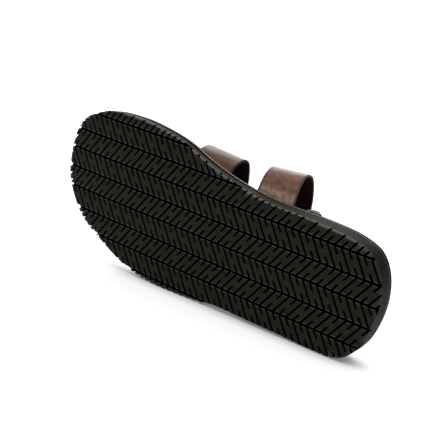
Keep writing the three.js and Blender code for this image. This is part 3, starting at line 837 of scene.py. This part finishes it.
def banded(name, suffix, section, materials, material_of, creased):
    """A closed section carried along the strap's two edge curves. material_of says which columns of the
    section take the second material."""
    strap = strap_frame(name)
    toe, heel, way = strap
    width = np.linalg.norm(toe - heel, axis=1)
    station = np.arange(STRAP_STATIONS)[:, None]
    from_toe, from_heel, out = section.T
    by_toe = np.isnan(from_heel)
    by_heel = np.isnan(from_toe)
    across = from_toe[None, :] * width[:, None] / STRAP_WIDTH
    across[:, by_toe] = from_toe[by_toe]
    across[:, by_heel] = width[:, None] - from_heel[by_heel]
    lift = np.broadcast_to(out[None, :], across.shape).copy()
    if creased:
        depth = crease_depth(name, way[:, None], across * STRAP_WIDTH / width[:, None])
        lift += np.interp(out, CREASED_LEVELS, (0, 1))[None, :] * depth
    points = strap_point(strap, np.broadcast_to(station, across.shape), across, lift)
    count = len(section)
    cells = grid_triangles(STRAP_STATIONS, count, closed=True)
    fan = np.stack([np.zeros(count - 2, int), np.arange(1, count - 1), np.arange(2, count)], 1)
    cells = np.concatenate([cells, fan, fan[:, ::-1] + (STRAP_STATIONS - 1) * count])
    points = points.reshape(-1, 3)
    a, b, c = (points[cells[:, k]] for k in range(3))
    if np.einsum("ij,ij->", a, np.cross(b, c)) < 0:
        cells = cells[:, ::-1]
    piece = make_piece(f"{name}_{suffix}", points, cells, materials)
    uv = np.stack([np.broadcast_to(way[:, None], across.shape), across], -1).reshape(-1, 2) * MM
    store_uv(piece.data, "band", uv)
    store(piece.data, "from_toe_edge", across.reshape(-1))
    store(piece.data, "from_heel_edge", (width[:, None] - across).reshape(-1))
    up = np.minimum(way, way[-1] - way)
    # Painted sheen low on the strap, and painted light on the cut edges, by the way up.
    low_sheen_amount = np.interp(up, *zip(*LOW_SHEEN)) * LOW_SHEEN_SHARE[name]
    edge_painted_light = np.interp(up, EDGE_PAINTED_LIGHT_SPAN, (EDGE_PAINTED_LIGHT[name], 1.0))
    store(piece.data, "low_sheen", np.repeat(low_sheen_amount, count))
    store(piece.data, "edge_painted_light", np.repeat(edge_painted_light, count))
    if material_of is not None:
        column = cells.min(1) % count
        paint(piece.data, material_of[column] & (cells.max(1) - cells.min(1) <= 2 * count))
    soften(piece.data, 45)
    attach(piece, "root")
    return piece


def strap_leather_material():
    """Smooth brown leather with a soft polish: redder and darker clouds, small pale scuffs and painted shade
    along the toe edge. The heel edge is painted, with painted light and shade from edge_painted_light. Where
    low_sheen says so, most near the feet, it is painted paler as sheen."""
    material, tree, shader = new_material("strap_leather", Coat_Weight=1.0, Coat_IOR=1.25,
                                          Coat_Roughness=0.24, Specular_IOR_Level=0.05)
    band = add_node(tree, "ShaderNodeUVMap", uv_map="band").outputs[0]
    patches, flecks = use_mottle(tree, band, 75.0, 520.0)
    warm, scuffs = use_mottle(tree, band, 130.0, 260.0)
    colour = mixed(tree, ranged(tree, patches, 0, 1, 0.3, 1), STRAP_BROWN_DARK, STRAP_BROWN)
    colour = mixed(tree, ranged(tree, warm, 0, 1, 0, 0.45), colour, STRAP_RED)
    colour = mixed(tree, ranged(tree, scuffs, 0.55, 1, 0, 0.25), colour, STRAP_SCUFF)
    painted_light_share = ranged(tree, scuffs, 0, 0.8, 0.35, 1)
    # Painted sheen: paler low on the strap, in patches.
    colour = mixed(tree, maths(tree, "MULTIPLY", stored(tree, "low_sheen"), painted_light_share), colour, STRAP_LOW_SHEEN)
    # Painted shade along the toe edge.
    toe_edge = ranged(tree, stored(tree, "from_toe_edge"), 0.9, 2.4, 0.9, 0.0)
    colour = mixed(tree, toe_edge, colour, STRAP_EDGE_SHADE)
    # Painted light and shade on the cut edge: lighter higher up, darker near the feet.
    light = maths(tree, "MULTIPLY", stored(tree, "edge_painted_light"), patches)
    painted = mixed(tree, light, STRAP_EDGE_SHADE, STRAP_HEEL_EDGE)
    heel_edge = ranged(tree, stored(tree, "from_heel_edge"), 1.0, 1.4, 1.0, 0.0)
    colour = mixed(tree, heel_edge, colour, painted)
    tree.links.new(colour, shader.inputs["Base Color"])
    tree.links.new(ranged(tree, flecks, 0, 1, 0.4, 0.52), shader.inputs["Roughness"])
    add_bump(tree, shader, use_grain(tree, band, 1400.0), 0.35, 0.1)
    return material


def plain_leather_material(name, dark, light, roughness, gloss, lit_by=""):
    """Dark leather for linings and painted edges, slightly uneven. lit_by may name what says where it takes
    painted light and shade."""
    material, tree, shader = new_material(name, Roughness=roughness, Specular_IOR_Level=gloss)
    place = object_place(tree)
    patches, flecks = use_mottle(tree, place, 140.0, 900.0)
    if lit_by:
        patches = maths(tree, "MULTIPLY", patches, stored(tree, lit_by))
    tree.links.new(mixed(tree, patches, dark, light), shader.inputs["Base Color"])
    add_bump(tree, shader, flecks, 0.4, 0.1)
    return material


STRAP_BROWN = rgb(112, 69, 38)
STRAP_BROWN_DARK = rgb(72, 42, 22)
STRAP_RED = rgb(116, 57, 29)
STRAP_SCUFF = rgb(146, 108, 82)
STRAP_LOW_SHEEN = rgb(186, 154, 136)
# The colour of the painted shade on the toe edge, and on the cut edge near the feet.
STRAP_EDGE_SHADE = rgb(52, 38, 28)
STRAP_HEEL_EDGE = rgb(108, 100, 88)
strap_leather = strap_leather_material()
# The cut faces take painted light and shade from edge_painted_light.
edge_paint = plain_leather_material("edge_paint", rgb(44, 36, 28), rgb(124, 114, 102), 0.6, 0.1,
                                    "edge_painted_light")
lining_leather = plain_leather_material("lining_leather", rgb(24, 13, 8), rgb(36, 22, 15), 0.75, 0.08)

NONE = np.nan


def closed_section(edge, face_shares, face, back):
    """The points round a band: up its toe edge, over its face, down its heel edge and back under. Each has
    its distances from the toe edge and from the heel edge and how far out it lies. Round an edge one of
    the distances is none. Where both are given, the point moves with the band's width."""
    over = [(share * STRAP_WIDTH, share * STRAP_WIDTH, face) for share in face_shares]
    under = [(share * STRAP_WIDTH, share * STRAP_WIDTH, back) for share in (0.75, 0.5, 0.25)]
    toe_side = [(distance, NONE, out) for distance, out in edge]
    heel_side = [(NONE, distance, out) for distance, out in edge[::-1]]
    return np.array(toe_side + over + heel_side + under)


skin = STRAP_THICKNESS / 2
seam = skin - (STRAP_THICKNESS - LINING_THICKNESS)
leather_edge = [(0.25, seam), (0.0, seam + 0.15), (0.0, skin - 0.45), (0.12, skin - 0.18),
                (0.4, skin - 0.04), (1.0, skin)]
lining_edge = [(0.6, seam - 0.02), (0.42, seam - 0.2), (0.42, 0.25 - skin), (0.6, 0.06 - skin),
               (1.0, -skin)]
leather_section = closed_section(leather_edge, np.linspace(0.07, 0.93, 23), skin, seam)
lining_section = closed_section(lining_edge, np.linspace(0.1, 0.9, 9), -skin, seam - 0.02)
# The section's first and last columns are painted. They are the cut edges and the back.
FIRST_PAINTED = 3
LAST_PAINTED = 7
column = np.arange(len(leather_section))
cut_side = (column < FIRST_PAINTED) | (column >= len(leather_section) - LAST_PAINTED)
for strap_name in STRAPS:
    leather = banded(strap_name, "leather", leather_section, [strap_leather, edge_paint], cut_side, True)
    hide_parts(strap_name)
    banded(strap_name, "lining", lining_section, [lining_leather], None, False)

# Stitches: one row of waxed thread across each strap near each foot, holding the lining to the leather.
# Each stitch is a short thread of its own that dips into the leather at both ends.
STITCH_PITCH = 2.1
STITCH_LENGTH = 1.35
STITCH_RADIUS = 0.34
STITCH_MARGIN = 2.0
STITCH_RINGS = 7
STITCH_SIDES = 6
# How high a stitch arches and how deep its ends lie, as shares of its radius.
STITCH_ARCH = 1.2
STITCH_SINK = 0.6
# How far above the rim each row runs, at the toe edge and at the heel edge.
STITCH_RISE = {"strap_front": (7.5, 4.7), "strap_rear": (4.9, 3.9)}
thread, tree, shader = new_material("waxed_thread", Roughness=0.6)
_, flecks = use_mottle(tree, object_place(tree), 400.0, 2400.0)
tree.links.new(mixed(tree, flecks, rgb(132, 114, 94), rgb(180, 164, 144)), shader.inputs["Base Color"])


def stitch(start, end, outwards):
    """A short thick thread that dips into the leather at both ends, as points and triangles."""
    t = np.linspace(0, 1, STITCH_RINGS)
    around = np.linspace(0, 2 * np.pi, STITCH_SIDES + 1)[:-1]
    height = STITCH_RADIUS * (STITCH_ARCH * np.sin(np.pi * t) - STITCH_SINK)
    middle = start + (end - start) * t[:, None] + outwards * height[:, None]
    radius = STITCH_RADIUS * np.sqrt(np.clip(1 - (2 * t - 1) ** 4, 0.02, 1))
    side = np.cross(end - start, outwards)
    side /= np.linalg.norm(side)
    ring = np.cos(around)[:, None] * side + np.sin(around)[:, None] * outwards
    points = middle[:, None, :] + radius[:, None, None] * ring[None]
    cells = grid_triangles(STITCH_RINGS, STITCH_SIDES, closed=True)
    near_end = np.array([(0, k, k + 1) for k in range(1, STITCH_SIDES - 1)])
    far_end = near_end[:, ::-1] + (STITCH_RINGS - 1) * STITCH_SIDES
    return points.reshape(-1, 3), np.concatenate([cells, near_end, far_end])


def stitch_rows(strap, rises):
    """Both rows of a strap, at its inner and its outer foot, as one set of points and triangles."""
    toe, heel, _ = strap
    begins = np.arange(STITCH_MARGIN, STRAP_WIDTH - STITCH_MARGIN - STITCH_LENGTH, STITCH_PITCH)
    half_way = STRAP_STATIONS // 2
    made = []
    for stations in (np.arange(half_way), np.arange(STRAP_STATIONS - 1, half_way, -1)):
        for share in begins / STRAP_WIDTH:
            middle = toe[stations] + (heel[stations] - toe[stations]) * share
            rise = middle[:, 2] - heel_lift(middle[:, 0]) - RIM_HEIGHT
            at = np.full(2, stations[int(np.argmax(rise > np.interp(share, (0, 1), rises)))])
            across = np.linalg.norm(toe[at[0]] - heel[at[0]]) * share + np.array([0, STITCH_LENGTH])
            ends = strap_point(strap, at, across, np.full(2, skin))
            outwards = (ends - strap_point(strap, at, across, np.full(2, skin - 1))).mean(0)
            made.append(stitch(ends[0], ends[1], outwards / np.linalg.norm(outwards)))
    points, cells = (np.stack(values) for values in zip(*made))
    cells = cells + (np.arange(len(points)) * points.shape[1])[:, None, None]
    return points.reshape(-1, 3), cells.reshape(-1, 3)


for strap_name in STRAPS:
    rows = stitch_rows(strap_frame(strap_name), STITCH_RISE[strap_name])
    stitches = make_piece(f"{strap_name}_stitches", *rows, [thread])
    soften(stitches.data, 60)
    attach(stitches, "root")

# Studio: a pale floor that glows a little, as painted light that also lights the sandal, and glows less close
# under the sandal as a painted contact shadow. Soft white light comes from above and from behind on the left,
# and a weaker one from the front.
FLOOR_SIZE = 12.0
CONTACT_SHADOW_REACH = 0.02
half = FLOOR_SIZE / 2
floor_corners = [(-half, -half, 0), (half, -half, 0), (half, half, 0), (-half, half, 0)]
floor_mesh = bpy.data.meshes.new("floor")
floor_mesh.from_pydata(floor_corners, [], [(0, 1, 2, 3)])
floor = add_object("floor", floor_mesh)
pale_floor, tree, shader = new_material("pale_floor", Roughness=0.9, Specular_IOR_Level=0.1)
shader.inputs["Base Color"].default_value = (0.82, 0.82, 0.815, 1.0)
shader.inputs["Emission Color"].default_value = (1.0, 1.0, 0.99, 1.0)
openness = add_node(tree, "ShaderNodeAmbientOcclusion", {"Distance": CONTACT_SHADOW_REACH}, samples=16)
# Painted contact shadow: the floor glows less where the sandal is close.
glow = ranged(tree, openness.outputs["AO"], 0.3, 0.9, 0.15, 0.62)
tree.links.new(glow, shader.inputs["Emission Strength"])
floor_mesh.materials.append(pale_floor)


def add_light(name, kind, place, energy):
    """A white light at a place, turned to the sandal: its own z axis points away from it."""
    away = np.array(place) / np.linalg.norm(place)
    right = np.cross((0.0, 1.0, 0.0), away)
    right /= np.linalg.norm(right)
    turned = np.eye(4)
    turned[:3, :3] = np.column_stack([right, np.cross(away, right), away])
    turned[:3, 3] = place
    data = bpy.data.lights.new(name, kind)
    data.energy = energy
    light = add_object(name, data)
    light.matrix_world = Matrix(turned.tolist())
    return light


for name, place, size, power in (("softbox_above", (-0.8, 0.9, 1.05), 1.5, 6.0),
                                 ("backdrop_glow", (-1.6, 2.4, 1.0), 2.8, 36.0)):
    softbox = add_light(name, "AREA", place, power)
    softbox.data.shape = "SQUARE"
    softbox.data.size = size
    softbox.visible_camera = False
for name, place, angle, power in (("ceiling", (0.0, 0.0, 1.0), 70, 0.7),
                                  ("front_light", (-0.35, -0.6, 0.7), 45, 0.36)):
    add_light(name, "SUN", place, power).data.angle = np.radians(angle)

world = bpy.data.worlds.new("white_studio")
world.use_nodes = True
bpy.context.scene.world = world
tree = world.node_tree
ray = add_node(tree, "ShaderNodeLightPath").outputs
mirrored = ranged(tree, ray["Is Glossy Ray"], 0.0, 1.0, 0.28, 0.36)
seen = ranged(tree, ray["Is Camera Ray"], 0.0, 1.0, 0.0, 1.05)
tree.links.new(maths(tree, "MAXIMUM", seen, mirrored), tree.nodes["Background"].inputs["Strength"])
tree.nodes["Background"].inputs["Color"].default_value = (1.0, 1.0, 1.0, 1.0)
bpy.context.scene.view_settings.view_transform = "Standard"
